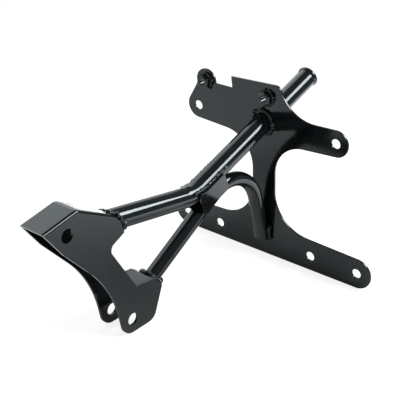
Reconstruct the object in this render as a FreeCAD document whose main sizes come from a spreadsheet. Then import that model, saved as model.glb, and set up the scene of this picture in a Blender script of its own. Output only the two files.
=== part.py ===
import FreeCAD, Part
import math
import os
import Sketcher

# A welded steel headlight bracket for a motorcycle. A folded neck channel bolts on at the
# steering head. A bent main tube runs forward from it, through a flat headlight plate. A
# smaller strut tube starts at a bent cross plate between the channel's ears, runs under the
# main tube and arches down to the plate. Two gussets lap the sides of both tubes, two weld
# nuts sit behind the plate, and weld beads join it all.
#
# Lengths are in millimetres and angles in degrees. Every piece is drawn with the headlight
# plate's rear face in the plane x = 0, x forward, y to the left and z up along the plate.
# At the end the whole bracket is tipped and lifted to stand on its lowest points.

SIZES = (
    # Stock and fits
    ("tube_od", 25.4),
    ("tube_wall", 2.0),
    ("strut_od", 19.05),
    ("strut_wall", 1.6),
    ("sheet", 3.0),
    ("plate_sheet", 2.5),
    ("weld_gap", 0.1),
    # Main tube: two straight runs with one bend between them
    ("front_pitch", 17.9),
    ("rear_drop", 10.9),
    ("kink_back", 144.3),
    ("kink_round", 60.0),
    ("seat_run", 148.4),
    ("tube_tail", 32.0),
    ("stub_run", 98.0),
    ("flare_run", 6.0),
    ("flare_rise", 1.6),
    ("flare_swell", 3.4),
    ("flare_round", 3.0),
    ("rim_round", 0.8),
    # Neck channel, from the main tube's rear axis at the seat
    ("neck_inside", 30.6),
    ("crest_back", 53.3),
    ("crest_up", 32.1),
    ("crest_round", 9.0),
    ("web_back", 98.0),
    ("web_rise", 20.8),
    ("web_front", 3.5),
    ("web_fall", 17.9),
    ("fold_round", 3.6),
    ("brow_x", 10.5),
    ("brow_z", 5.5),
    ("chin_x", 18.5),
    ("chin_z", -9.0),
    ("nook_x", -4.0),
    ("nook_z", -24.1),
    ("nook_round", 8.0),
    ("slot_x", 44.0),
    ("slot_z", -80.5),
    ("tab_x", 73.0),
    ("tab_z", -79.6),
    ("tab_round", 4.0),
    ("nose_x", 88.5),
    ("nose_z", -90.5),
    ("nose_round", 5.0),
    ("toe_x", 79.5),
    ("toe_z", -132.6),
    ("toe_round", 13.0),
    ("ear_x", 42.4),
    ("ear_z", -121.5),
    ("ear_round", 17.4),
    ("ear_hole", 15.0),
    ("waist_x", 6.4),
    ("waist_z", -73.3),
    ("back_round", 165.0),
    ("hip_x", -69.0),
    ("hip_z", -13.5),
    ("hip_round", 30.0),
    ("corner_round", 1.5),
    ("neck_hole", 16.0),
    ("neck_hole_x", -65.3),
    ("neck_hole_z", 6.7),
    # Cross plate, from the strut's foot on its front leaf
    ("cross_up", 17.8),
    ("cross_down", 10.6),
    ("cross_leaf", 26.0),
    ("cross_round", 5.0),
    # Strut tube: strut, arch and flattened leg, bent from one length
    ("arch_back", 36.0),
    ("arch_drop", 23.3),
    ("arch_round", 61.4),
    ("leg_pitch", 77.1),
    ("leg_round_run", 108.0),
    ("leg_foot_drop", 167.0),
    ("leg_foot_wide", 22.0),
    ("leg_foot_deep", 12.6),
    # Gussets, from the main tube's front axis at the kink
    ("gusset_crown_x", 1.0),
    ("gusset_crown_z", 7.0),
    ("gusset_dip_x", 14.7),
    ("gusset_dip_z", 2.4),
    ("gusset_front_top_x", 48.0),
    ("gusset_front_low", 52.0),
    ("gusset_mid_low", 33.0),
    ("gusset_back_low", 7.0),
    ("gusset_heel_x", 1.0),
    ("gusset_heel_z", -25.5),
    ("gusset_round", 3.0),
    ("gusset_belly_round", 30.0),
    # Headlight plate
    ("waist_half", 18.0),
    ("upper_reach", 108.6),
    ("upper_hole_z", -2.4),
    ("upper_end_round", 17.6),
    ("upper_root_z", -25.5),
    ("upper_pit_round", 46.0),
    ("lower_right_reach", 146.4),
    ("lower_left_reach", 137.0),
    ("lower_hole_drop", 172.1),
    ("lower_end_round", 20.8),
    ("lower_root_z", -146.2),
    ("lower_pit_round", 53.0),
    ("inner_reach", 76.0),
    ("mount_hole", 12.6),
    ("crown_top", 53.2),
    ("crown_right", -24.5),
    ("crown_round", 9.0),
    ("shoulder_right", -40.3),
    ("shoulder_z", 13.4),
    ("shoulder_round", 51.5),
    ("notch_right", 51.8),
    ("notch_right_z", 50.0),
    ("notch_low_right", 50.4),
    ("notch_step", 0.5),
    ("lobe_y", 94.2),
    ("lobe_z", 35.4),
    ("lobe_round", 16.1),
    ("lobe_foot_z", 28.5),
    ("lobe_foot_round", 12.0),
    # Weld nuts behind the plate
    ("nut_flats", 17.0),
    ("nut_height", 8.5),
    ("nut_thread", 8.5),
    ("nut_chamfer", 1.2),
    ("bolt_hole", 10.5),
    ("centre_nut_y", -5.5),
    ("centre_nut_z", 34.0),
    # Weld beads, by the radius of the run
    ("neck_bead", 3.6),
    ("neck_bead_reach", 19.5),
    ("cross_bead", 1.8),
    ("cross_bead_sink", 0.7),
    ("plate_bead", 4.6),
    ("foot_bead", 4.2),
    ("gusset_bead", 2.8),
    ("gusset_bead_start", 13.0),
    ("nut_bead", 2.6),
    ("leg_bead", 4.2),
    ("leg_bead_run", 18.0),
)

# Places that follow from the sizes above.
WORKED_OUT = (
    ("tube_radius", "=tube_od / 2"),
    ("tube_bore", "=tube_od / 2 - tube_wall"),
    ("strut_radius", "=strut_od / 2"),
    ("strut_bore", "=strut_od / 2 - strut_wall"),
    ("kink_x", "=-kink_back"),
    ("kink_z", "=-kink_back * tan(front_pitch)"),
    ("stub_x", "=stub_run * cos(front_pitch)"),
    ("stub_z", "=stub_run * sin(front_pitch)"),
    ("rim_radius", "=tube_radius + flare_rise"),
    ("rim_bore", "=tube_bore + flare_rise"),
    ("seat_x", "=kink_x - seat_run * cos(rear_drop)"),
    ("seat_z", "=kink_z + seat_run * sin(rear_drop)"),
    ("tail_x", "=seat_x - tube_tail * cos(rear_drop)"),
    ("tail_z", "=seat_z + tube_tail * sin(rear_drop)"),
    ("tail_turn", "=90 + rear_drop"),
    ("front_turn", "=90 - front_pitch"),
    ("rear_turn", "=-rear_drop"),
    # Neck channel
    ("neck_outside", "=neck_inside + 2 * sheet"),
    ("crest_x", "=-crest_back"),
    ("web_back_x", "=-web_back"),
    ("web_back_z", "=crest_up - (web_back - crest_back) * tan(web_rise)"),
    ("web_front_x", "=-web_front"),
    ("web_front_z", "=crest_up - (crest_back - web_front) * tan(web_fall)"),
    ("room_back_x", "=-web_back - sheet"),
    ("room_back_z", "=web_back_z - sheet * tan(web_rise) - sheet / cos(web_rise)"),
    ("crest_split", "=sheet / cos((web_rise + web_fall) / 2)"),
    ("room_crest_x", "=crest_x + crest_split * sin((web_rise - web_fall) / 2)"),
    ("room_crest_z", "=crest_up - crest_split * cos((web_rise - web_fall) / 2)"),
    ("room_round", "=crest_round - sheet"),
    ("room_front_z", "=web_front_z - sheet / cos(web_fall)"),
    ("room_top_z", "=crest_up + sheet"),
    ("room_ahead_x", "=nose_x + sheet"),
    ("room_low_z", "=ear_z - ear_round - sheet - ear_x"),
    # Strut foot, arch corner and cross plate
    ("leaf_fall", "=atan((tab_z - nose_z) / (nose_x - tab_x)) / (1 deg)"),
    ("leaf_rise", "=atan((tab_z - slot_z) / (tab_x - slot_x)) / (1 deg)"),
    ("leaf_pitch", "=90 - leaf_fall - rear_drop"),
    ("foot_x", "=tab_x + cross_up * cos(leaf_fall)"),
    ("foot_z", "=tab_z - cross_up * sin(leaf_fall)"),
    ("strut_foot_x", "=seat_x + foot_x * cos(rear_drop) + foot_z * sin(rear_drop)"),
    ("strut_foot_z", "=seat_z - foot_x * sin(rear_drop) + foot_z * cos(rear_drop)"),
    ("arch_x", "=-arch_back"),
    ("arch_z", "=-arch_drop"),
    ("strut_pitch", "=atan((arch_z - strut_foot_z) / (arch_x - strut_foot_x)) / (1 deg)"),
    ("strut_turn", "=90 - strut_pitch"),
    ("strut_spare", "=strut_radius * tan(leaf_pitch - strut_pitch) + sheet"),
    ("strut_start_x", "=strut_foot_x - strut_spare * cos(strut_pitch)"),
    ("strut_start_z", "=strut_foot_z - strut_spare * sin(strut_pitch)"),
    ("leg_x", "=arch_x + leg_round_run * cos(leg_pitch)"),
    ("leg_z", "=arch_z - leg_round_run * sin(leg_pitch)"),
    ("leg_turn", "=90 + leg_pitch"),
    ("leg_foot_x", "=-leg_foot_deep / 2 - weld_gap"),
    ("leg_foot_z", "=-leg_foot_drop"),
    ("leg_foot_long", "=leg_foot_wide / 2"),
    ("leg_foot_short", "=leg_foot_deep / 2"),
    ("leg_bore_long", "=leg_foot_wide / 2 - strut_wall"),
    ("leg_bore_short", "=leg_foot_deep / 2 - strut_wall"),
    ("cross_wide", "=neck_inside - 2 * weld_gap"),
    ("cross_half", "=cross_wide / 2"),
    ("cross_end_z", "=cross_half - cross_down"),
    ("cross_lap_z", "=(cross_end_z + cross_up) / 2"),
    ("cross_bend", "=leaf_fall + leaf_rise"),
    ("cross_leaf_x", "=-cross_leaf * sin(cross_bend)"),
    ("cross_leaf_z", "=cross_up + cross_leaf * cos(cross_bend)"),
    ("cross_under_x", "=cross_leaf_x - sheet * cos(cross_bend)"),
    ("cross_under_z", "=cross_leaf_z - sheet * sin(cross_bend)"),
    ("cross_back_x", "=-sheet"),
    ("cross_inner_z", "=cross_up - sheet * tan(cross_bend / 2)"),
    ("cross_inner_round", "=cross_round - sheet"),
    # Gussets
    ("lap_turn", "=strut_pitch - front_pitch"),
    ("arch_p", "=(arch_x - kink_x) * cos(front_pitch) + (arch_z - kink_z) * sin(front_pitch)"),
    ("arch_q", "=(arch_z - kink_z) * cos(front_pitch) - (arch_x - kink_x) * sin(front_pitch)"),
    ("bend_run", "=arch_round * tan((strut_pitch + leg_pitch) / 2)"),
    ("bend_p", "=arch_p - bend_run * cos(lap_turn)"),
    ("past_bend", "=(gusset_front_low - bend_p) / cos(lap_turn)"),
    ("bend_sag", "=arch_round - sqrt(arch_round ^ 2 - past_bend ^ 2)"),
    ("gusset_front_top_z", "=gusset_dip_z"),
    ("gusset_front_z", "=arch_q + (gusset_front_low - arch_p) * tan(lap_turn) - bend_sag"),
    ("gusset_mid_z", "=arch_q + (gusset_mid_low - arch_p) * tan(lap_turn)"),
    ("gusset_back_z", "=arch_q + (gusset_back_low - arch_p) * tan(lap_turn)"),
    ("gusset_tilt", "=asin((tube_od - strut_od) / 2 / abs(gusset_back_z)) / (1 deg)"),
    ("gusset_out", "=(tube_radius + weld_gap) / cos(gusset_tilt)"),
    # Headlight plate
    ("tube_hole", "=tube_od / 2 + weld_gap"),
    ("lower_hole_z", "=-lower_hole_drop"),
    ("plate_low_z", "=lower_hole_z - lower_end_round"),
    ("lobe_out_y", "=lobe_y + lobe_round"),
    ("lobe_in_y", "=lobe_y - lobe_round"),
    ("notch_z", "=lobe_z - notch_step"),
    ("mount_hole_radius", "=mount_hole / 2"),
    ("bolt_hole_radius", "=bolt_hole / 2"),
    ("ear_hole_radius", "=ear_hole / 2"),
    ("neck_hole_radius", "=neck_hole / 2"),
    ("nut_point_radius", "=nut_flats / 2 / cos(30)"),
    ("nut_thread_radius", "=nut_thread / 2"),
    ("plate_bead_ring", "=tube_radius / cos(front_pitch)"),
    ("nut_bead_ring", "=nut_flats / 2"),
    ("weld_up", "=gusset_bead * 0.8"),
)

document = FreeCAD.newDocument("HeadlightBracket")
sheet = document.addObject("Spreadsheet::Sheet", "Sizes")


def fill_sheet():
    """Write the driving sizes, then the places that follow from them."""
    for row, (alias, content) in enumerate(SIZES + WORKED_OUT, start=1):
        sheet.set(f"A{row}", alias)
        sheet.set(f"B{row}", str(content))
        sheet.setAlias(f"B{row}", alias)
    document.recompute()


def size(name):
    """The value of a size. A leading minus turns its sign."""
    if name.startswith("-"):
        return -size(name[1:])
    return float(sheet.get(name))


def cell(name):
    """The same size as a sheet reference for an expression."""
    if name == "0":
        return "0"
    if name.startswith("-"):
        return "-Sizes." + name[1:]
    return "Sizes." + name


def at(x, z):
    """A sketch point from two size names, either of which may be 0."""
    flat = [0.0 if name == "0" else size(name) for name in (x, z)]
    return FreeCAD.Vector(flat[0], flat[1], 0)


def add_body(name):
    body = document.addObject("PartDesign::Body", name)
    body.Label = name
    return body


def add_sketch(body, name, role="XZ_Plane", shift=("0", "0", "0"), turn=("0", "0", "0")):
    """A sketch on one of the body's own planes, shifted and turned within it.

    turn is the turn about the plane's normal, then about its second and first axes.
    """
    sketch = body.newObject("Sketcher::SketchObject", name)
    planes = [item for item in body.Origin.OriginFeatures if item.Role == role]
    sketch.AttachmentSupport = (planes[0], [""])
    sketch.MapMode = "FlatFace"
    base = "; ".join(cell(item) for item in shift)
    angles = "; ".join(cell(item) for item in turn)
    sketch.setExpression("AttachmentOffset", f"placement(vector({base}); rotation({angles}))")
    return sketch


def hold(sketch, rules):
    """Add constraints all at once and drive the named ones from the sheet."""
    first = sketch.ConstraintCount
    sketch.addConstraint([constraint for constraint, name in rules])
    for index, (constraint, name) in enumerate(rules, start=first):
        if name:
            sketch.setExpression(f"Constraints[{index}]", cell(name))


def pin_rules(item, end, x, z):
    """Hold one point of a sketch at two named distances from the sketch's axes."""
    point = at(x, z)
    if x == "0":
        across_rule = (Sketcher.Constraint("PointOnObject", item, end, -2), None)
    else:
        across_rule = (Sketcher.Constraint("DistanceX", -1, 1, item, end, point.x), x)
    if z == "0":
        up_rule = (Sketcher.Constraint("PointOnObject", item, end, -1), None)
    else:
        up_rule = (Sketcher.Constraint("DistanceY", -1, 1, item, end, point.y), z)
    return [across_rule, up_rule]


def radius_rule(item, name):
    return (Sketcher.Constraint("Radius", item, size(name)), name)


def add_circle(sketch, x, z, radius):
    normal = FreeCAD.Vector(0, 0, 1)
    item = sketch.addGeometry(Part.Circle(at(x, z), normal, size(radius)))
    hold(sketch, pin_rules(item, 3, x, z) + [radius_rule(item, radius)])


def corner(x, z, radius=None):
    """A corner of an outline, sharp or rounded."""
    return {"x": x, "z": z, "radius": radius, "end": False}


def round_end(x, z, radius):
    """A round end of an outline: the arc's centre and radius."""
    return {"x": x, "z": z, "radius": radius, "end": True}


def run_ends(first, last):
    """The two ends of the straight run between neighbours of a left-turning outline.

    The run touches a round end's arc and goes through a corner.
    """
    start = at(first["x"], first["z"])
    stop = at(last["x"], last["z"])
    start_radius = size(first["radius"]) if first["end"] else 0.0
    stop_radius = size(last["radius"]) if last["end"] else 0.0
    reach = stop - start
    heading = math.atan2(reach.y, reach.x) - math.asin((stop_radius - start_radius) / reach.Length)
    right = FreeCAD.Vector(math.sin(heading), -math.cos(heading), 0)
    return start + right * start_radius, stop + right * stop_radius


def trim_to_arc(point, before, after, radius):
    """Cut two runs back from their corner and return the arc that rounds it."""
    heading_in = (point - before).normalize()
    heading_out = (after - point).normalize()
    turn = heading_in.getAngle(heading_out)
    back = radius * math.tan(turn / 2)
    start = point - heading_in * back
    stop = point + heading_out * back
    inward = (heading_out - heading_in).normalize()
    middle = point + inward * (radius / math.cos(turn / 2) - radius)
    return start, middle, stop


def bulge(centre, start, stop):
    """The three points of a left-turning arc about its centre."""
    first = math.atan2(start.y - centre.y, start.x - centre.x)
    sweep = (math.atan2(stop.y - centre.y, stop.x - centre.x) - first) % (2 * math.pi)
    way = FreeCAD.Vector(math.cos(first + sweep / 2), math.sin(first + sweep / 2), 0)
    return start, centre + way * (start - centre).Length, stop


def draw_outline(sketch, corners, closed=True):
    """Straight runs through the corners, joined by tangent arcs, all held by the sheet."""
    count = len(corners)
    run_count = count if closed else count - 1
    runs = [list(run_ends(corners[i], corners[(i + 1) % count])) for i in range(run_count)]
    arcs = {}
    for i, spot in enumerate(corners):
        if not closed and i in (0, count - 1):
            continue
        before = runs[i - 1]
        after = runs[i % count]
        if spot["end"]:
            arcs[i] = bulge(at(spot["x"], spot["z"]), before[1], after[0])
        elif spot["radius"]:
            point = at(spot["x"], spot["z"])
            arcs[i] = trim_to_arc(point, before[0], after[1], size(spot["radius"]))
    for i, (start, middle, stop) in arcs.items():
        runs[i - 1][1] = start
        runs[i % count][0] = stop
    lines = [sketch.addGeometry(Part.LineSegment(start, stop)) for start, stop in runs]
    rules = []
    for i, spot in enumerate(corners):
        if not closed and i in (0, count - 1):
            line = lines[0] if i == 0 else lines[-1]
            rules += pin_rules(line, 1 if i == 0 else 2, spot["x"], spot["z"])
        elif i in arcs:
            rules += round_corner(sketch, spot, lines[i - 1], lines[i % count], arcs[i])
        else:
            join = Sketcher.Constraint("Coincident", lines[i - 1], 2, lines[i % count], 1)
            rules += [(join, None)] + pin_rules(lines[i - 1], 2, spot["x"], spot["z"])
    hold(sketch, rules)


def round_corner(sketch, spot, before, after, points):
    """Put the arc of one corner in, tangent to the runs on both sides of it."""
    start, middle, stop = points
    turns_left = (middle - start).cross(stop - middle).z > 0
    first, last = (1, 2) if turns_left else (2, 1)
    arc = Part.Arc(start, middle, stop) if turns_left else Part.Arc(stop, middle, start)
    item = sketch.addGeometry(arc)
    rules = [
        (Sketcher.Constraint("Tangent", before, 2, item, first), None),
        (Sketcher.Constraint("Tangent", item, last, after, 1), None),
        radius_rule(item, spot["radius"]),
    ]
    if spot["end"]:
        return rules + pin_rules(item, 3, spot["x"], spot["z"])
    mark = sketch.addGeometry(Part.Point(at(spot["x"], spot["z"])), True)
    rules.append((Sketcher.Constraint("PointOnObject", mark, 1, before), None))
    rules.append((Sketcher.Constraint("PointOnObject", mark, 1, after), None))
    return rules + pin_rules(mark, 1, spot["x"], spot["z"])


def add_pad(body, name, sketch, length, side="Symmetric", reverse=False):
    pad = body.newObject("PartDesign::Pad", name)
    pad.Profile = sketch
    pad.SideType = side
    pad.Reversed = reverse
    pad.setExpression("Length", length)
    return pad


def add_pocket(body, name, sketch, length=None):
    """A cut to both sides of its sketch, right through unless a length is given."""
    pocket = body.newObject("PartDesign::Pocket", name)
    pocket.Profile = sketch
    pocket.SideType = "Symmetric"
    if length:
        pocket.setExpression("Length", length)
    else:
        pocket.Type = "ThroughAll"
    return pocket


def make_neck_channel():
    """The folded sheet at the steering head: a web on top and two cheeks with ears."""
    body = add_body("neck_channel")
    place = {"shift": ("seat_x", "seat_z", "0"), "turn": ("rear_turn", "0", "0")}
    outline = add_sketch(body, "CheekOutline", **place)
    draw_outline(outline, [
        round_end("ear_x", "ear_z", "ear_round"),
        corner("toe_x", "toe_z", "toe_round"),
        corner("nose_x", "nose_z", "nose_round"),
        corner("tab_x", "tab_z", "tab_round"),
        corner("slot_x", "slot_z", "corner_round"),
        corner("nook_x", "nook_z", "nook_round"),
        corner("chin_x", "chin_z", "corner_round"),
        corner("brow_x", "brow_z", "tab_round"),
        corner("web_front_x", "web_front_z"),
        corner("crest_x", "crest_up", "crest_round"),
        corner("web_back_x", "web_back_z"),
        corner("hip_x", "hip_z", "hip_round"),
        corner("waist_x", "waist_z", "back_round"),
    ])
    blank = add_pad(body, "Blank", outline, "Sizes.neck_outside")
    document.recompute()
    fold = body.newObject("PartDesign::Fillet", "Fold")
    fold.Base = (blank, fold_edges(blank))
    fold.setExpression("Radius", "Sizes.fold_round")
    room = add_sketch(body, "RoomOutline", **place)
    draw_outline(room, [
        corner("room_back_x", "room_low_z"),
        corner("room_ahead_x", "room_low_z"),
        corner("room_ahead_x", "room_top_z"),
        corner("web_front_x", "room_top_z"),
        corner("web_front_x", "room_front_z"),
        corner("room_crest_x", "room_crest_z", "room_round"),
        corner("room_back_x", "room_back_z"),
    ])
    add_pocket(body, "Room", room, "Sizes.neck_inside")
    holes = add_sketch(body, "BoltHoles", **place)
    add_circle(holes, "ear_x", "ear_z", "ear_hole_radius")
    add_circle(holes, "neck_hole_x", "neck_hole_z", "neck_hole_radius")
    add_pocket(body, "BoltHolesCut", holes)
    return body


def fold_edges(blank):
    """Names of the long edges where the web turns down into the two cheeks."""
    lowest = max(size("web_back_z"), size("web_front_z"))
    seat = frame_point("seat", "rear_turn", 0, 0)
    up = frame_point("seat", "rear_turn", 0, 1) - seat
    names = []
    for number, edge in enumerate(blank.Shape.Edges, start=1):
        middle = edge.valueAt((edge.FirstParameter + edge.LastParameter) / 2)
        across = abs(edge.Vertexes[0].Point.y - edge.Vertexes[-1].Point.y)
        if (middle - seat).dot(up) > lowest and across < 0.01:
            names.append(f"Edge{number}")
    return names


def make_cross_plate():
    """The bent strip between the cheeks that carries the strut's foot."""
    body = add_body("cross_plate")
    place = {"shift": ("strut_foot_x", "strut_foot_z", "0"), "turn": ("leaf_pitch", "0", "0")}
    outline = add_sketch(body, "StripOutline", **place)
    draw_outline(outline, [
        corner("0", "cross_end_z"),
        corner("0", "cross_up", "cross_round"),
        corner("cross_leaf_x", "cross_leaf_z"),
        corner("cross_under_x", "cross_under_z"),
        corner("cross_back_x", "cross_inner_z", "cross_inner_round"),
        corner("cross_back_x", "cross_end_z"),
    ])
    add_pad(body, "Strip", outline, "Sizes.cross_wide")
    on_leaf = ("0", "strut_foot_z", "strut_foot_x")
    tongue = add_sketch(body, "TongueOutline", "YZ_Plane", on_leaf, ("0", "0", "-leaf_pitch"))
    draw_outline(tongue, [
        round_end("0", "cross_end_z", "cross_half"),
        corner("cross_half", "cross_lap_z"),
        corner("-cross_half", "cross_lap_z"),
    ])
    add_pad(body, "Tongue", tongue, "Sizes.sheet", "One side", True)
    return body


def make_main_tube():
    """The large bent tube, flared at the end that stands out ahead of the plate."""
    body = add_body("main_tube")
    path = add_sketch(body, "TubePath")
    draw_outline(path, [
        corner("tail_x", "tail_z"),
        corner("kink_x", "kink_z", "kink_round"),
        corner("stub_x", "stub_z"),
    ], closed=False)
    start = ("tail_x", "0", "tail_z")
    section = add_sketch(body, "TubeSection", "XY_Plane", start, ("0", "tail_turn", "0"))
    add_circle(section, "0", "0", "tube_radius")
    add_circle(section, "0", "0", "tube_bore")
    pipe = body.newObject("PartDesign::AdditivePipe", "Pipe")
    pipe.Profile = section
    pipe.Spine = path
    end = ("stub_x", "stub_z", "0")
    flare = add_sketch(body, "FlareSection", "XZ_Plane", end, ("front_pitch", "0", "0"))
    draw_flare(flare)
    turn = body.newObject("PartDesign::Revolution", "Flare")
    turn.Profile = flare
    turn.ReferenceAxis = (flare, ["H_Axis"])
    turn.Angle = 360
    return body


def draw_flare(sketch):
    """Half section of the flared end: a wall that swells outward to a rounded rim."""
    draw_outline(sketch, [
        corner("0", "tube_bore"),
        corner("flare_run", "rim_bore"),
        corner("flare_run", "rim_radius", "rim_round"),
        corner("flare_swell", "rim_radius", "flare_round"),
        corner("0", "tube_radius"),
    ])


def make_strut_tube():
    """The smaller tube: strut, arch and leg in one bend, its end pressed flat and wide."""
    body = add_body("strut_tube")
    path = add_sketch(body, "StrutPath")
    draw_outline(path, [
        corner("strut_start_x", "strut_start_z"),
        corner("arch_x", "arch_z", "arch_round"),
        corner("leg_x", "leg_z"),
    ], closed=False)
    start = ("strut_start_x", "0", "strut_start_z")
    section = add_sketch(body, "StrutSection", "XY_Plane", start, ("0", "strut_turn", "0"))
    add_circle(section, "0", "0", "strut_radius")
    pipe = body.newObject("PartDesign::AdditivePipe", "Rod")
    pipe.Profile = section
    pipe.Spine = path
    outer = add_leg_loft(body, "Leg", "AdditiveLoft", "strut_radius", "leg_foot_long", "leg_foot_short")
    bore = add_sketch(body, "StrutBore", "XY_Plane", start, ("0", "strut_turn", "0"))
    add_circle(bore, "0", "0", "strut_bore")
    hollow = body.newObject("PartDesign::SubtractivePipe", "Bore")
    hollow.Profile = bore
    hollow.Spine = path
    add_leg_loft(body, "LegBore", "SubtractiveLoft", "strut_bore", "leg_bore_long", "leg_bore_short")
    base = ("strut_foot_x", "strut_foot_z", "0")
    foot = add_sketch(body, "FootLine", "XZ_Plane", base, ("leaf_pitch", "0", "0"))
    draw_outline(foot, [
        corner("weld_gap", "-tube_od"),
        corner("weld_gap", "tube_od"),
        corner("-tube_od", "tube_od"),
        corner("-tube_od", "-tube_od"),
    ])
    add_pocket(body, "FootCut", foot)
    return body


def add_leg_loft(body, name, kind, radius, long_half, short_half):
    """The leg's change from round to flat, or the bore inside it."""
    start = ("leg_x", "0", "leg_z")
    top = add_sketch(body, name + "Round", "XY_Plane", start, ("0", "leg_turn", "0"))
    add_circle(top, "0", "0", radius)
    foot = add_sketch(body, name + "Flat", "XY_Plane", ("leg_foot_x", "0", "leg_foot_z"))
    draw_oval(foot, long_half, short_half)
    loft = body.newObject("PartDesign::" + kind, name)
    loft.Profile = top
    loft.Sections = [foot]
    return loft


def draw_oval(sketch, long_half, short_half):
    """An ellipse about the sketch's origin, long across it."""
    middle = FreeCAD.Vector(0, 0, 0)
    tip = FreeCAD.Vector(0, size(long_half), 0)
    side = FreeCAD.Vector(-size(short_half), 0, 0)
    item = sketch.addGeometry(Part.Ellipse(tip, side, middle))
    sketch.exposeInternalGeometry(item)
    long_line = item + 1
    short_line = item + 2
    long_rule = Sketcher.Constraint("Distance", -1, 1, long_line, 1, size(long_half))
    short_rule = Sketcher.Constraint("Distance", -1, 1, short_line, 1, size(short_half))
    hold(sketch, [
        (Sketcher.Constraint("Coincident", item, 3, -1, 1), None),
        (Sketcher.Constraint("PointOnObject", long_line, 1, -2), None),
        (long_rule, long_half),
        (short_rule, short_half),
    ])


def make_gusset(name, side):
    """A flat plate lapped on one side of both tubes. side is -1 on the right, 1 on the left."""
    body = add_body(name)
    sign = "-" if side > 0 else ""
    shift = ("kink_x", "kink_z", sign + "gusset_out")
    turn = ("front_pitch", "0", sign + "gusset_tilt")
    outline = add_sketch(body, "GussetOutline", "XZ_Plane", shift, turn)
    draw_outline(outline, [
        corner("gusset_heel_x", "gusset_heel_z", "gusset_round"),
        corner("gusset_back_low", "gusset_back_z", "gusset_round"),
        corner("gusset_mid_low", "gusset_mid_z", "gusset_belly_round"),
        corner("gusset_front_low", "gusset_front_z", "gusset_round"),
        corner("gusset_front_top_x", "gusset_front_top_z", "gusset_round"),
        corner("gusset_dip_x", "gusset_dip_z", "gusset_round"),
        corner("gusset_crown_x", "gusset_crown_z", "gusset_round"),
    ])
    add_pad(body, "GussetPlate", outline, "Sizes.sheet", "One side", side > 0)
    return body


def make_headlight_plate():
    """The flat plate with two upper and two lower arms that carries the headlight."""
    body = add_body("headlight_plate")
    outline = add_sketch(body, "PlateOutline", "YZ_Plane")
    draw_outline(outline, [
        round_end("-lower_right_reach", "lower_hole_z", "lower_end_round"),
        round_end("lower_left_reach", "lower_hole_z", "lower_end_round"),
        corner("waist_half", "lower_root_z", "lower_pit_round"),
        corner("waist_half", "upper_root_z", "upper_pit_round"),
        round_end("upper_reach", "upper_hole_z", "upper_end_round"),
        corner("lobe_out_y", "lobe_foot_z", "lobe_foot_round"),
        round_end("lobe_y", "lobe_z", "lobe_round"),
        corner("lobe_in_y", "notch_z"),
        corner("notch_low_right", "notch_z", "corner_round"),
        corner("notch_right", "notch_right_z"),
        corner("crown_right", "crown_top", "crown_round"),
        corner("shoulder_right", "shoulder_z", "shoulder_round"),
        round_end("-upper_reach", "upper_hole_z", "upper_end_round"),
        corner("-waist_half", "upper_root_z", "upper_pit_round"),
        corner("-waist_half", "lower_root_z", "lower_pit_round"),
    ])
    add_pad(body, "Plate", outline, "Sizes.plate_sheet", "One side")
    holes = add_sketch(body, "PlateHoles", "YZ_Plane")
    for sign in ("-", ""):
        add_circle(holes, sign + "upper_reach", "upper_hole_z", "mount_hole_radius")
        add_circle(holes, sign + "inner_reach", "lower_hole_z", "mount_hole_radius")
    add_circle(holes, "-lower_right_reach", "lower_hole_z", "mount_hole_radius")
    add_circle(holes, "lower_left_reach", "lower_hole_z", "mount_hole_radius")
    add_circle(holes, "lobe_y", "lobe_z", "bolt_hole_radius")
    add_circle(holes, "centre_nut_y", "centre_nut_z", "bolt_hole_radius")
    add_pocket(body, "PlateHolesCut", holes)
    tube = add_sketch(body, "TubeHole", "XY_Plane", turn=("0", "front_turn", "0"))
    add_circle(tube, "0", "0", "tube_hole")
    add_pocket(body, "TubeHoleCut", tube, "Sizes.tube_od * 2")
    return body


def make_nut(name, y, z):
    """A hexagonal weld nut on the plate's rear face, its crown chamfered."""
    body = add_body(name)
    outline = add_sketch(body, "NutFlats", "YZ_Plane")
    draw_hexagon(outline, y, z)
    nut = add_pad(body, "NutBlank", outline, "Sizes.nut_height", "One side", True)
    document.recompute()
    chamfer = body.newObject("PartDesign::Chamfer", "NutChamfer")
    rear = min(range(len(nut.Shape.Faces)), key=lambda i: nut.Shape.Faces[i].CenterOfMass.x)
    chamfer.Base = (nut, [f"Face{rear + 1}"])
    chamfer.setExpression("Size", "Sizes.nut_chamfer")
    thread = add_sketch(body, "NutThread", "YZ_Plane")
    add_circle(thread, y, z, "nut_thread_radius")
    add_pocket(body, "NutThreadCut", thread)
    return body


def draw_hexagon(sketch, x, z):
    """A regular hexagon inside a guide circle, one corner straight above the centre."""
    centre = at(x, z)
    radius = size("nut_point_radius")
    points = []
    for step in range(6):
        turn = math.radians(90 + 60 * step)
        points.append(centre + FreeCAD.Vector(math.cos(turn) * radius, math.sin(turn) * radius, 0))
    sides = [sketch.addGeometry(Part.LineSegment(points[i - 1], points[i])) for i in range(6)]
    guide = sketch.addGeometry(Part.Circle(centre, FreeCAD.Vector(0, 0, 1), radius), True)
    rules = pin_rules(guide, 3, x, z) + [radius_rule(guide, "nut_point_radius")]
    for i in range(6):
        rules.append((Sketcher.Constraint("Coincident", sides[i - 1], 2, sides[i], 1), None))
        rules.append((Sketcher.Constraint("PointOnObject", sides[i], 2, guide), None))
    for i in range(1, 6):
        rules.append((Sketcher.Constraint("Equal", sides[0], sides[i]), None))
    rules.append((Sketcher.Constraint("Vertical", guide, 3, sides[0], 2), None))
    hold(sketch, rules)


def run_bead(points, radius):
    """A weld bead laid along straight runs, round in section and at both ends."""
    solid = Part.makeSphere(radius, points[0])
    for start, stop in zip(points, points[1:]):
        way = stop - start
        solid = solid.fuse(Part.makeCylinder(radius, way.Length, start, way))
        solid = solid.fuse(Part.makeSphere(radius, stop))
    return solid


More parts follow.
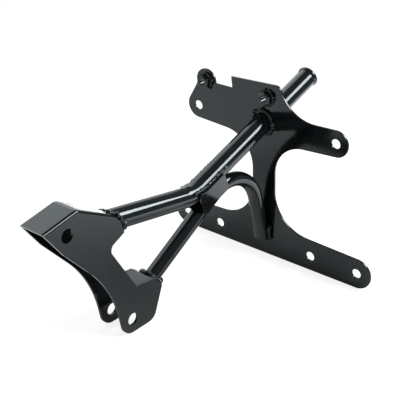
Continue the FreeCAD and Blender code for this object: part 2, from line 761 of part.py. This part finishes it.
def add_weld(name, bead, neighbours):
    """Keep what of a bead lies outside the pieces that it joins."""
    for piece in neighbours:
        bead = bead.cut(piece.Shape)
    weld = document.addObject("Part::Feature", name)
    weld.Label = name
    weld.Shape = max(bead.Solids, key=lambda solid: solid.Volume)
    return weld


def vector(x, y, z):
    return FreeCAD.Vector(x, y, z)


def frame_point(base, pitch, x, z, y=0.0):
    """A point from its distances along and above an inclined axis through a named base."""
    angle = math.radians(size(pitch))
    forward = vector(math.cos(angle), 0, math.sin(angle))
    upward = vector(-math.sin(angle), 0, math.cos(angle))
    origin = vector(size(base + "_x"), y, size(base + "_z"))
    return origin + forward * x + upward * z


def plate_ring(reach, radius, centre):
    """A ring that lies along the plate's rear face."""
    return Part.makeTorus(size(reach), size(radius), centre, vector(1, 0, 0))


def weld_plate(pieces):
    """The bead round the main tube on the plate's rear face."""
    ring = plate_ring("plate_bead_ring", "plate_bead", vector(0, 0, 0))
    return add_weld("plate_weld", ring, (pieces["headlight_plate"], pieces["main_tube"]))


def weld_strut_foot(pieces):
    """The bead round the strut where it stands on the cross plate."""
    foot = frame_point("strut_foot", "leaf_pitch", 0, 0)
    axis = frame_point("strut_foot", "leaf_pitch", 1, 0) - foot
    ring = Part.makeTorus(size("strut_radius"), size("foot_bead"), foot, axis)
    joined = (pieces["cross_plate"], pieces["strut_tube"], pieces["neck_channel"])
    return add_weld("strut_foot_weld", ring, joined)


def weld_nut(name, y, z, pieces):
    """The bead round the foot of one weld nut."""
    ring = plate_ring("nut_bead_ring", "nut_bead", vector(0, size(y), size(z)))
    return add_weld(f"{name}_weld", ring, (pieces[name], pieces["headlight_plate"]))


def weld_neck(pieces):
    """The bead over the main tube, from one cheek across the web's front edge to the other."""
    radius = size("tube_radius") + 1
    points = []
    for step in range(-6, 7):
        turn = math.radians(20 * step)
        ahead = size("web_front_x") + size("neck_bead_reach") * math.sin(abs(turn) * 0.75)
        up = radius * math.cos(turn)
        points.append(frame_point("seat", "rear_turn", ahead, up, radius * math.sin(turn)))
    bead = run_bead(points, size("neck_bead"))
    return add_weld("neck_weld", bead, (pieces["neck_channel"], pieces["main_tube"]))


def weld_cross(word, side, pieces):
    """A small bead along the seam between the cross plate's front leaf and one cheek."""
    y = side * size("cross_half")
    sink = -size("cross_bead_sink")
    low = frame_point("strut_foot", "leaf_pitch", sink, size("cross_end_z"), y)
    top = frame_point("strut_foot", "leaf_pitch", sink, size("cross_up") - size("cross_bead"), y)
    bead = run_bead((low, top), size("cross_bead"))
    joined = (pieces["cross_plate"], pieces["neck_channel"], pieces["strut_foot_weld"])
    return add_weld(f"{word}_cross_weld", bead, joined)


def weld_gusset_top(word, side, pieces):
    """The bead along a gusset's top edge, on the side of the main tube."""
    y = side * (size("tube_radius") - size("weld_up") / 4)
    points = []
    for part in ("front_top", "dip", "crown"):
        ahead = size(f"gusset_{part}_x")
        up = size(f"gusset_{part}_z") + size("weld_up")
        points.append(frame_point("kink", "front_pitch", ahead, up, y))
    bead = run_bead(points, size("gusset_bead"))
    joined = (pieces[f"{word}_gusset"], pieces["main_tube"])
    return add_weld(f"{word}_gusset_top_weld", bead, joined)


def weld_gusset_low(word, side, pieces):
    """The bead along a gusset's lower edge, on the side of the strut."""
    y = side * (size("strut_radius") + size("sheet") / 4)
    start = size("gusset_back_z") + size("gusset_bead_start") * math.tan(math.radians(size("lap_turn")))
    turns = (
        (size("gusset_back_low") + size("gusset_bead_start"), start),
        (size("gusset_mid_low"), size("gusset_mid_z")),
        (size("gusset_front_low"), size("gusset_front_z")),
    )
    points = []
    for ahead, edge in turns:
        points.append(frame_point("kink", "front_pitch", ahead, edge - size("sheet") / 2, y))
    bead = run_bead(points, size("gusset_bead"))
    joined = (pieces[f"{word}_gusset"], pieces["strut_tube"])
    return add_weld(f"{word}_gusset_low_weld", bead, joined)


def weld_leg(word, side, pieces):
    """The bead down one side of the flattened foot, on the plate."""
    x = -size("leg_foot_deep") / 4
    y = side * size("leg_foot_long")
    low = size("leg_foot_z") + size("leg_bead") / 2
    bead = run_bead((vector(x, y, low), vector(x, y, low + size("leg_bead_run"))), size("leg_bead"))
    joined = (pieces["headlight_plate"], pieces["strut_tube"])
    return add_weld(f"{word}_leg_weld", bead, joined)


def make_welds(pieces):
    """All the weld beads, each cut back from the pieces that it joins."""
    foot_weld = weld_strut_foot(pieces)
    pieces["strut_foot_weld"] = foot_weld
    welds = [
        weld_plate(pieces),
        foot_weld,
        weld_neck(pieces),
        weld_nut("lobe_nut", "lobe_y", "lobe_z", pieces),
        weld_nut("centre_nut", "centre_nut_y", "centre_nut_z", pieces),
    ]
    for word, side in (("right", -1), ("left", 1)):
        welds.append(weld_cross(word, side, pieces))
        welds.append(weld_gusset_top(word, side, pieces))
        welds.append(weld_gusset_low(word, side, pieces))
        welds.append(weld_leg(word, side, pieces))
    return welds


def standing_placement(items):
    """Tip the bracket onto its ears and the plate's lower edge, and centre it over the origin."""
    ear = frame_point("seat", "rear_turn", size("ear_x"), size("ear_z"))
    edge = vector(0, 0, size("plate_low_z"))
    reach = edge - ear
    pitch = math.atan2(reach.z, reach.x) + math.asin(size("ear_round") / reach.Length)
    tip = FreeCAD.Rotation(FreeCAD.Vector(0, 1, 0), math.degrees(pitch))
    whole = Part.makeCompound([item.Shape for item in items])
    whole.Placement = FreeCAD.Placement(vector(0, 0, 0), tip)
    box = whole.optimalBoundingBox()
    return FreeCAD.Placement(vector(-box.Center.x, -box.Center.y, -tip.multVec(edge).z), tip)


def check(objects):
    """Stop if anything in the document failed, or a piece has no sound shape."""
    for item in document.Objects:
        if "Invalid" in item.State or "Error" in item.State:
            raise RuntimeError(f"{item.Label} failed: {item.State}")
    for item in objects:
        if item.Shape.isNull() or not item.Shape.isValid():
            raise RuntimeError(f"{item.Label} has no sound shape")


def main():
    fill_sheet()
    items = [
        make_neck_channel(),
        make_cross_plate(),
        make_main_tube(),
        make_strut_tube(),
        make_gusset("right_gusset", -1),
        make_gusset("left_gusset", 1),
        make_headlight_plate(),
        make_nut("lobe_nut", "lobe_y", "lobe_z"),
        make_nut("centre_nut", "centre_nut_y", "centre_nut_z"),
    ]
    document.recompute()
    check(items)
    items += make_welds({item.Label: item for item in items})
    stand = standing_placement(items)
    for item in items:
        item.Placement = stand
    document.recompute()
    check(items)
    os.makedirs("parts", exist_ok=True)
    for item in items:
        item.Shape.exportStep(f"parts/{item.Label}.step")
        print(item.Label, round(item.Shape.Volume), len(item.Shape.Solids))
    print(stand)


main()
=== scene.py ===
"""A gloss black headlight bracket for a motorcycle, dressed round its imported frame.

Lengths are in metres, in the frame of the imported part: +X forward, +Y to the left, +Z up.
The weld runs are in millimetres on the headlight plate's own axes. Angles are in degrees.
"""
import math
import random

import bpy
from mathutils import Euler, Matrix, Vector

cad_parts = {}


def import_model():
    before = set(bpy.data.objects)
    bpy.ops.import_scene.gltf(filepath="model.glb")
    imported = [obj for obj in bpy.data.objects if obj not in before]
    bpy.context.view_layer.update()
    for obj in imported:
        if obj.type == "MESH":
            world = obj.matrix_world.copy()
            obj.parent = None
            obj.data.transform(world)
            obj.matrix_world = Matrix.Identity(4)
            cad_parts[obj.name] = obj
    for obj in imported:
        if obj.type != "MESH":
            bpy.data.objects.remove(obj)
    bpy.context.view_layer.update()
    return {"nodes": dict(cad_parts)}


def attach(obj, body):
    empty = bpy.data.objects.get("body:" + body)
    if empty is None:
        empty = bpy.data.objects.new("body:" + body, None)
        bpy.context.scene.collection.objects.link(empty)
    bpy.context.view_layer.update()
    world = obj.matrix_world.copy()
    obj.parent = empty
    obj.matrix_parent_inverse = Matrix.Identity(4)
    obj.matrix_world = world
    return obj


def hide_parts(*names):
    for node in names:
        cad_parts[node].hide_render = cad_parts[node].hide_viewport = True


# The camera's place, turn and lens, as solved from the photograph.
CAMERA_PLACE = (-0.77391, -0.64835, 0.55447)
CAMERA_TURN = (67.0565, -2.1839, -49.6506)
CAMERA_LENS = 82.99
CAMERA_SENSOR = 36.0

# The headlight plate leans back. These lead from its own axes to the frame's.
PLATE_LEAN = 6.20968
PLATE_ORIGIN = (0.141119, 0.0047, 0.191768)
MILLIMETRE = 0.001

# The main tube's seat in the neck channel, its bend, and the strut's foot.
# Each is a distance ahead, one above, and the pitch of the axis that its beads follow.
SEAT = (-290.02, -18.55, -10.9)
KINK = (-144.3, -46.61, 17.9)
STRUT_FOOT = (-221.03, -123.32, 44.0)

# The nuts' places on the plate, to the left and above.
LOBE_NUT = (94.2, 35.4)
CENTRE_NUT = (-5.5, 34.0)

# Each bead's radius, and the share by which its ripples swell and stray.
PLATE_BEAD = (4.0, 0.2)
FOOT_BEAD = (3.9, 0.28)
NUT_BEAD = (2.7, 0.22)
NECK_BEAD = (3.4, 0.24)
CROSS_BEAD = (1.7, 0.13)
RIGHT_GUSSET_BEAD = (2.2, 0.2)
LEFT_GUSSET_BEAD = (1.9, 0.2)
GUSSET_LOW_BEAD = (2.3, 0.13)
LEG_BEAD = (3.7, 0.2)

# Each ring of weld: its radius across, how much taller than wide it is, and how far ahead it lies.
PLATE_RING = (14.6, 1.04, -1.3)
FOOT_RING = (11.8, 1.03, 1.9)
NUT_RING = (9.5, 1.0, -0.5)
RING_SIDES = 36

# The neck bead lies NECK_START ahead of the seat on top, and about NECK_RUN further at its ends.
NECK_START = -3.0
NECK_RUN = 24.5
# Its steps down each side of the tube, the angle of each, and the share that its run ahead takes.
NECK_STEPS = 26
NECK_STEP_ANGLE = 5
NECK_STEP_SHARE = 0.75
# Its distance from the tube's axis on top and what it gains to the side, on the right and left.
NECK_RIGHT = (13.2, 2.4)
NECK_LEFT = (10.9, 1.4)
NECK_LEFT_FROM = 2

# The beads at the sides, as distances ahead and above, and how far from the middle each lies.
GUSSET_TOP_RUN = ((57.0, 4.9), (14.7, 4.9), (1.0, 9.3), (-3.0, 9.8))
GUSSET_TOP_SIDE = 12.2
GUSSET_LOW_RUN = ((20.0, -18.9), (33.0, -16.5), (52.0, -13.7))
GUSSET_LOW_SIDE = 10.4
CROSS_RUN = ((-0.7, 4.6), (-0.7, 16.0))
CROSS_SIDE = 15.2
LEG_RUN = ((-3.2, -166.5), (-3.2, -146.0))
LEG_SIDE = 11.0
# How much lower the left gusset's upper bead lies than the right one.
LEFT_GUSSET_DROP = 1.3

# A ripple's half length and the step to the next one, as shares of the bead's radius.
RIPPLE_HALF = 0.66
RIPPLE_STEP = 0.8
RIPPLE_TILT = 24
# How fine the skin is that fuses the ripples.
WELD_VOXEL = 0.00042

# How far the edges of cut sheet and nuts are broken, and how sharp an edge has to be for it.
SHEET_EDGE = 0.0004
NUT_EDGE = 0.0003
EDGE_ANGLE = 40
# How close points and how level faces are that become one in a copy of a solid.
MERGE_GAP = 0.000003
FLAT_ANGLE = 0.6

# Each coat: its roughness, the scale and depth of its orange peel, and the depth of its waves.
COATS = {
    "sheet_coat": (0.10, 900, 0.00001, 0.00001),
    "tube_coat": (0.07, 900, 0.000008, 0.00006),
    "nut_coat": (0.08, 700, 0.00001, 0.00003),
    "weld_coat": (0.07, 600, 0.00002, 0.00006),
}
# The darkest and the lightest black of a coat, each with its place in the tone pattern.
TONES = ((0.35, (0.0040, 0.0046, 0.0052, 1)), (0.75, (0.0068, 0.0077, 0.0086, 1)))
COOL_TINT = (0.88, 0.99, 1, 1)
COAT_IOR = 1.5
# The patterns in a coat as scale, detail and roughness. The peel's scale is each coat's own.
TONE_NOISE = (60, 3, 0.5)
GLOSS_NOISE = (35, 4, 0.55)
WAVE_NOISE = (130, 1, 0.4)
PEEL_NOISE = (1.5, 0.4)
# The part of the gloss pattern that counts, and the shares of the roughness that it leads to.
GLOSS_PART = (0.3, 0.7)
GLOSS_SHARES = (0.8, 1.25)

# The floor, and how far below the bracket's feet it lies.
FLOOR_SIZE = 1.6
FLOOR_DROP = 0.0005
# What the camera and mirrored rays see it glow with, and the grey that takes the soft shadow.
CAMERA_GLOW = 0.84
MIRROR_GLOW = 0.2
SHADOW_GREY = 0.28
# All rays but the camera's see painted shade on it, darkest round one spot, and mirrored ones a
# painted pool of light round another.
# Each fade is a near and a far distance from the spot, and the level at each.
PAINTED_SHADE_SPOT = (0.01, -0.085)
PAINTED_SHADE_FADE = (0.06, 0.28, 0.3, 0.95)
# The painted pool of light: its spot, its fade and how bright it glows.
PAINTED_LIGHT_SPOT = (0.55, 0.65)
PAINTED_LIGHT_FADE = (0.15, 0.45, 1.0, 0.0)
PAINTED_LIGHT_GLOW = 1.5

STUDIO_COLOUR = (0.95, 0.98, 1, 1)
STUDIO_GLOW = 0.22
WHITE = (1, 1, 1, 1)

# Each softbox: compass angle, height angle, distance, width, height, brightness and colour.
SOFTBOXES = {
    "key_softbox": (-54, 39, 1.4, 1.2, 0.52, 15.0, (0.96, 0.98, 1)),
    "fill_softbox": (80, 42, 1.6, 1.7, 1.4, 1.8, (0.94, 0.98, 1)),
    "front_softbox": (30, 18, 1.7, 1.3, 0.8, 0.85, (0.94, 0.98, 1)),
}
BRACKET_MIDDLE = (0.05, 0.0, 0.12)

SHEET_PIECES = ("neck_channel", "cross_plate", "right_gusset", "left_gusset", "headlight_plate")
TUBE_PIECES = ("main_tube", "strut_tube")
NUT_PIECES = ("lobe_nut", "centre_nut")


def deselect_all():
    for thing in bpy.context.selected_objects:
        thing.select_set(False)


def choose(thing):
    """Make one object the only one that operators act on."""
    deselect_all()
    bpy.context.view_layer.objects.active = thing
    thing.select_set(True)


def plate_point(x, y, z):
    """A point given in millimetres on the plate's own axes."""
    lean = Matrix.Rotation(math.radians(-PLATE_LEAN), 3, "Y")
    return Vector(PLATE_ORIGIN) + lean @ Vector((x, y, z)) * MILLIMETRE


def run_point(base, ahead, up, y=0.0):
    """A point from its distances along and above an inclined axis through a base."""
    x, z, pitch = base
    angle = math.radians(pitch)
    along = ahead * math.cos(angle) - up * math.sin(angle)
    rise = ahead * math.sin(angle) + up * math.cos(angle)
    return plate_point(x + along, y, z + rise)


def ring_points(ring, place):
    """Points all round a ring. place turns distances ahead, across and above into a point."""
    radius, stretch, ahead = ring
    points = []
    for step in range(RING_SIDES + 1):
        turn = 2 * math.pi * step / RING_SIDES
        points.append(place(ahead, radius * math.cos(turn), radius * stretch * math.sin(turn)))
    return points


def add_node(tree, kind, inputs):
    """A shader node. Each input gets a number or colour, or the socket that feeds it."""
    node = tree.nodes.new(f"ShaderNode{kind}")
    for name, value in inputs.items():
        if isinstance(value, bpy.types.NodeSocket):
            tree.links.new(value, node.inputs[name])
        else:
            node.inputs[name].default_value = value
    return node


def add_noise(tree, vector, scale, detail, roughness):
    inputs = {"Vector": vector, "Scale": scale, "Detail": detail, "Roughness": roughness}
    return add_node(tree, "TexNoise", inputs).outputs["Fac"]


def add_range(tree, value, start, stop, first, last):
    """A level that goes from first to last while a value goes from start to stop."""
    inputs = {"Value": value, "From Min": start, "From Max": stop, "To Min": first, "To Max": last}
    return add_node(tree, "MapRange", inputs).outputs["Result"]


def add_product(tree, first, second):
    product = add_node(tree, "Math", {0: first, 1: second})
    product.operation = "MULTIPLY"
    return product.outputs["Value"]


def add_sum(tree, first, second):
    """Two shaders added together."""
    return add_node(tree, "AddShader", {0: first, 1: second}).outputs["Shader"]


def split_by_ray(tree, seen, others, camera):
    """One shader for the camera and another for all other rays."""
    return add_node(tree, "MixShader", {"Fac": seen, 1: others, 2: camera}).outputs["Shader"]


def make_black_coat(name, roughness, peel_scale, peel_depth, wave_depth):
    """Gloss black powder coat: a faint orange peel, a slow waviness and an uneven gloss."""
    material = bpy.data.materials.new(name)
    material.use_nodes = True
    tree = material.node_tree
    place = add_node(tree, "TexCoord", {}).outputs["Object"]
    tone = add_node(tree, "ValToRGB", {"Fac": add_noise(tree, place, *TONE_NOISE)})
    for element, (position, colour) in zip(tone.color_ramp.elements, TONES):
        element.position = position
        element.color = colour
    shares = [roughness * share for share in GLOSS_SHARES]
    rough = add_range(tree, add_noise(tree, place, *GLOSS_NOISE), *GLOSS_PART, *shares)
    waves = {"Distance": wave_depth, "Height": add_noise(tree, place, *WAVE_NOISE)}
    wave = add_node(tree, "Bump", waves).outputs["Normal"]
    peels = {"Distance": peel_depth, "Height": add_noise(tree, place, peel_scale, *PEEL_NOISE)}
    peel = add_node(tree, "Bump", {**peels, "Normal": wave}).outputs["Normal"]
    shader = tree.nodes["Principled BSDF"]
    shader.inputs["IOR"].default_value = COAT_IOR
    shader.inputs["Specular Tint"].default_value = COOL_TINT
    tree.links.new(tone.outputs["Color"], shader.inputs["Base Color"])
    tree.links.new(rough, shader.inputs["Roughness"])
    tree.links.new(peel, shader.inputs["Normal"])
    return material


def paint(thing, material):
    thing.data.materials.clear()
    thing.data.materials.append(material)


def hand_over(piece, node, material):
    """Paint a finished piece and let it stand in for its solid."""
    paint(piece, material)
    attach(piece, "root")
    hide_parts(node)


def merge_triangles():
    """Join the loose triangles of the chosen copy, and make its flat faces whole again."""
    bpy.ops.mesh.customdata_custom_splitnormals_clear()
    bpy.ops.object.mode_set(mode="EDIT")
    bpy.ops.mesh.select_all(action="SELECT")
    bpy.ops.mesh.remove_doubles(threshold=MERGE_GAP)
    bpy.ops.mesh.dissolve_limited(angle_limit=math.radians(FLAT_ANGLE))
    bpy.ops.object.mode_set(mode="OBJECT")


def round_edges(name, node, material, width):
    """A copy of a cut piece with its sharp edges broken, as grinding and the coat leave them."""
    piece = node.copy()
    piece.data = node.data.copy()
    piece.name = f"rounded_{name}"
    bpy.context.scene.collection.objects.link(piece)
    choose(piece)
    merge_triangles()
    broken = piece.modifiers.new("broken_edges", "BEVEL")
    broken.width = width
    broken.segments = 2
    broken.limit_method = "ANGLE"
    broken.angle_limit = math.radians(EDGE_ANGLE)
    bpy.ops.object.modifier_apply(modifier=broken.name)
    bpy.ops.object.shade_smooth_by_angle(angle=math.radians(EDGE_ANGLE))
    flat = piece.modifiers.new("flat_faces", "WEIGHTED_NORMAL")
    flat.keep_sharp = True
    bpy.ops.object.modifier_apply(modifier=flat.name)
    hand_over(piece, name, material)


def walk(points, step):
    """Places at even steps along a run of points, each with the way that the run goes."""
    spots = []
    left = 0.0
    for start, stop in zip(points, points[1:]):
        reach = (stop - start).length
        way = (stop - start).normalized()
        while left <= reach:
            spots.append((start + way * left, way))
            left += step
        left -= reach
    return spots


def model_ripple():
    """One ripple of a weld: a ball pressed flat along the run."""
    deselect_all()
    bpy.ops.mesh.primitive_uv_sphere_add(segments=16, ring_count=8, radius=1)
    bpy.ops.object.mode_set(mode="EDIT")
    bpy.ops.mesh.select_all(action="SELECT")
    bpy.ops.transform.resize(value=(RIPPLE_HALF, 1, 1))
    bpy.ops.object.mode_set(mode="OBJECT")
    return bpy.context.active_object


def copy_ripples(name, points, radius, uneven):
    """Copies of one ripple, tilted back along a run. Each differs a little from the next."""
    chance = random.Random(name)
    ripple = model_ripple()
    tilt = Matrix.Rotation(math.radians(RIPPLE_TILT), 4, "Y")
    copies = []
    for place, way in walk(points, radius * RIPPLE_STEP * MILLIMETRE):
        copy = ripple.copy()
        copy.data = ripple.data.copy()
        swell = radius * MILLIMETRE * (1 + chance.uniform(-uneven, uneven))
        stray = Vector([chance.uniform(-uneven, uneven) for axis in range(3)]) * swell
        turn = way.to_track_quat("X", "Z").to_matrix().to_4x4()
        copy.matrix_world = Matrix.Translation(place + stray) @ turn @ tilt @ Matrix.Scale(swell, 4)
        bpy.context.scene.collection.objects.link(copy)
        copies.append(copy)
    bpy.data.objects.remove(ripple)
    return copies


def lay_weld(name, node, points, bead, coat):
    """A weld bead: ripples laid along the run, then fused into one skin."""
    radius, uneven = bead
    copies = copy_ripples(name, points, radius, uneven)
    choose(copies[0])
    for copy in copies:
        copy.select_set(True)
    bpy.ops.object.transform_apply(location=True, rotation=True, scale=True)
    bpy.ops.object.join()
    weld = bpy.context.active_object
    weld.name = name
    fuse = weld.modifiers.new("fuse", "REMESH")
    fuse.mode = "VOXEL"
    fuse.voxel_size = WELD_VOXEL
    bpy.ops.object.modifier_apply(modifier=fuse.name)
    bpy.ops.object.shade_smooth()
    hand_over(weld, node, coat)


def weld_round_plate(coat):
    """The bead round the main tube on the plate's rear face."""
    points = ring_points(PLATE_RING, plate_point)
    lay_weld("bead_round_plate_hole", "plate_weld", points, PLATE_BEAD, coat)


def weld_round_foot(coat):
    """The bead round the strut's slanted end on the cross plate's front leaf."""
    def place(ahead, across, rise):
        return run_point(STRUT_FOOT, ahead, rise, across)
    points = ring_points(FOOT_RING, place)
    lay_weld("bead_round_strut_foot", "strut_foot_weld", points, FOOT_BEAD, coat)


def weld_round_nut(name, node, spot, coat):
    """The bead round a nut's foot on the plate's rear face."""
    def place(ahead, across, rise):
        return plate_point(ahead, spot[0] + across, spot[1] + rise)
    lay_weld(name, node, ring_points(NUT_RING, place), NUT_BEAD, coat)


def weld_over_neck(coat):
    """The bead over the main tube and down both cheeks' front edges."""
    points = []
    for step in range(-NECK_STEPS, NECK_STEPS + 1):
        turn = math.radians(NECK_STEP_ANGLE * step)
        ahead = NECK_START + NECK_RUN * math.sin(abs(turn) * NECK_STEP_SHARE)
        least, gain = NECK_RIGHT if step < NECK_LEFT_FROM else NECK_LEFT
        reach = least + gain * math.sin(turn) ** 2
        points.append(run_point(SEAT, ahead, reach * math.cos(turn), reach * math.sin(turn)))
    lay_weld("bead_over_neck", "neck_weld", points, NECK_BEAD, coat)


def weld_cross_plate(word, side, coat):
    """The bead between the cross plate's front leaf and a cheek."""
    points = [run_point(STRUT_FOOT, ahead, up, side * CROSS_SIDE) for ahead, up in CROSS_RUN]
    lay_weld(f"{word}_cross_bead", f"{word}_cross_weld", points, CROSS_BEAD, coat)


def weld_gusset_top(word, side, coat):
    """The bead along a gusset's upper edge, on the main tube."""
    drop, bead = (0.0, RIGHT_GUSSET_BEAD) if side < 0 else (LEFT_GUSSET_DROP, LEFT_GUSSET_BEAD)
    across = side * GUSSET_TOP_SIDE
    points = [run_point(KINK, ahead, up - drop, across) for ahead, up in GUSSET_TOP_RUN]
    lay_weld(f"{word}_gusset_top_bead", f"{word}_gusset_top_weld", points, bead, coat)


def weld_gusset_low(word, side, coat):
    """A bead on a gusset's inner face. It lies 10 to 13 mm above the seam with the strut."""
    across = side * GUSSET_LOW_SIDE
    points = [run_point(KINK, ahead, up, across) for ahead, up in GUSSET_LOW_RUN]
    lay_weld(f"{word}_gusset_low_bead", f"{word}_gusset_low_weld", points, GUSSET_LOW_BEAD, coat)


def weld_leg(word, side, coat):
    """The bead down one side of the strut's flattened leg, on the plate."""
    points = [plate_point(ahead, side * LEG_SIDE, up) for ahead, up in LEG_RUN]
    lay_weld(f"{word}_leg_bead", f"{word}_leg_weld", points, LEG_BEAD, coat)


def add_welds(coat):
    weld_round_plate(coat)
    weld_round_foot(coat)
    weld_round_nut("bead_round_lobe_nut", "lobe_nut_weld", LOBE_NUT, coat)
    weld_round_nut("bead_round_centre_nut", "centre_nut_weld", CENTRE_NUT, coat)
    weld_over_neck(coat)
    for word, side in (("right", -1), ("left", 1)):
        weld_cross_plate(word, side, coat)
        weld_gusset_top(word, side, coat)
        weld_gusset_low(word, side, coat)
        weld_leg(word, side, coat)


def add_camera():
    data = bpy.data.cameras.new("photo_camera")
    data.lens = CAMERA_LENS
    data.sensor_width = CAMERA_SENSOR
    camera = bpy.data.objects.new("photo_camera", data)
    camera.location = CAMERA_PLACE
    camera.rotation_euler = Euler([math.radians(angle) for angle in CAMERA_TURN])
    bpy.context.scene.collection.objects.link(camera)
    bpy.context.scene.camera = camera


def add_softbox(name, azimuth, height, distance, wide, tall, radiance, tint):
    """A rectangular lamp that faces the bracket from a compass angle and a height angle."""
    data = bpy.data.lights.new(name, "AREA")
    data.shape = "RECTANGLE"
    data.size = wide
    data.size_y = tall
    data.energy = radiance * math.pi * wide * tall
    data.color = tint
    lamp = bpy.data.objects.new(name, data)
    bearing = math.radians(azimuth)
    climb = math.radians(height)
    level = math.cos(climb)
    way = Vector((level * math.cos(bearing), level * math.sin(bearing), math.sin(climb)))
    lamp.location = Vector(BRACKET_MIDDLE) + way * distance
    lamp.rotation_euler = (-way).to_track_quat("-Z", "Y").to_euler()
    bpy.context.scene.collection.objects.link(lamp)


def add_lights():
    for name, setting in SOFTBOXES.items():
        add_softbox(name, *setting)


def add_fade(tree, spot, fade):
    """A level that changes with the distance from a spot on the floor."""
    place = add_node(tree, "TexCoord", {}).outputs["Object"]
    shift = add_node(tree, "Mapping", {"Vector": place, "Location": (-spot[0], -spot[1], 0)})
    reach = add_node(tree, "VectorMath", {0: shift.outputs["Vector"]})
    reach.operation = "LENGTH"
    return add_range(tree, reach.outputs["Value"], *fade)


def add_glow(tree, seen, strength):
    """White light that only one kind of ray sees."""
    level = add_product(tree, seen, strength)
    return add_node(tree, "Emission", {"Strength": level}).outputs["Emission"]


def make_floor_material():
    """Near white with a faint shadow for the camera. For the rest, painted shade greyer close to
    the bracket, and a painted pool of light for mirrored rays.
    """
    material = bpy.data.materials.new("pale_floor")
    material.use_nodes = True
    tree = material.node_tree
    tree.nodes.clear()
    rays = add_node(tree, "LightPath", {}).outputs
    # The floor's colour holds painted shade, greyer close to the bracket.
    painted_shade_matt = add_node(tree, "BsdfDiffuse", {"Color": add_fade(tree, PAINTED_SHADE_SPOT, PAINTED_SHADE_FADE)})
    faint = add_node(tree, "BsdfDiffuse", {"Color": (SHADOW_GREY, SHADOW_GREY, SHADOW_GREY, 1)})
    floor = split_by_ray(tree, rays["Is Camera Ray"], painted_shade_matt.outputs["BSDF"], faint.outputs["BSDF"])
    # A painted pool of light on the floor, which only mirrored rays see.
    painted_light_pool = add_product(tree, add_fade(tree, PAINTED_LIGHT_SPOT, PAINTED_LIGHT_FADE), rays["Is Glossy Ray"])
    floor = add_sum(tree, floor, add_glow(tree, rays["Is Camera Ray"], CAMERA_GLOW))
    floor = add_sum(tree, floor, add_glow(tree, rays["Is Glossy Ray"], MIRROR_GLOW))
    floor = add_sum(tree, floor, add_glow(tree, painted_light_pool, PAINTED_LIGHT_GLOW))
    add_node(tree, "OutputMaterial", {"Surface": floor})
    return material


def add_floor():
    deselect_all()
    bpy.ops.mesh.primitive_plane_add(size=FLOOR_SIZE, location=(0, 0, -FLOOR_DROP))
    floor = bpy.context.active_object
    floor.name = "floor"
    paint(floor, make_floor_material())


def make_world():
    """White behind the object for the camera, a plain grey studio for everything else."""
    world = bpy.data.worlds.new("studio")
    bpy.context.scene.world = world
    world.use_nodes = True
    tree = world.node_tree
    tree.nodes.clear()
    rays = add_node(tree, "LightPath", {}).outputs
    studio = add_node(tree, "Background", {"Color": STUDIO_COLOUR, "Strength": STUDIO_GLOW})
    white = add_node(tree, "Background", {"Color": WHITE, "Strength": 1.0})
    backdrop = split_by_ray(tree, rays["Is Camera Ray"], studio.outputs[0], white.outputs[0])
    add_node(tree, "OutputWorld", {"Surface": backdrop})


def dress_frame(frame):
    """Coat the tubes, break the edges of sheets and nuts, and lay beads over the welds."""
    coats = {name: make_black_coat(name, *finish) for name, finish in COATS.items()}
    for name, node in frame["nodes"].items():
        if name in SHEET_PIECES:
            round_edges(name, node, coats["sheet_coat"], SHEET_EDGE)
        elif name in NUT_PIECES:
            round_edges(name, node, coats["nut_coat"], NUT_EDGE)
        elif name in TUBE_PIECES:
            paint(node, coats["tube_coat"])
    add_welds(coats["weld_coat"])


def main():
    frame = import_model()
    bpy.context.scene.view_settings.view_transform = "Standard"
    dress_frame(frame)
    add_camera()
    add_floor()
    make_world()
    add_lights()


main()
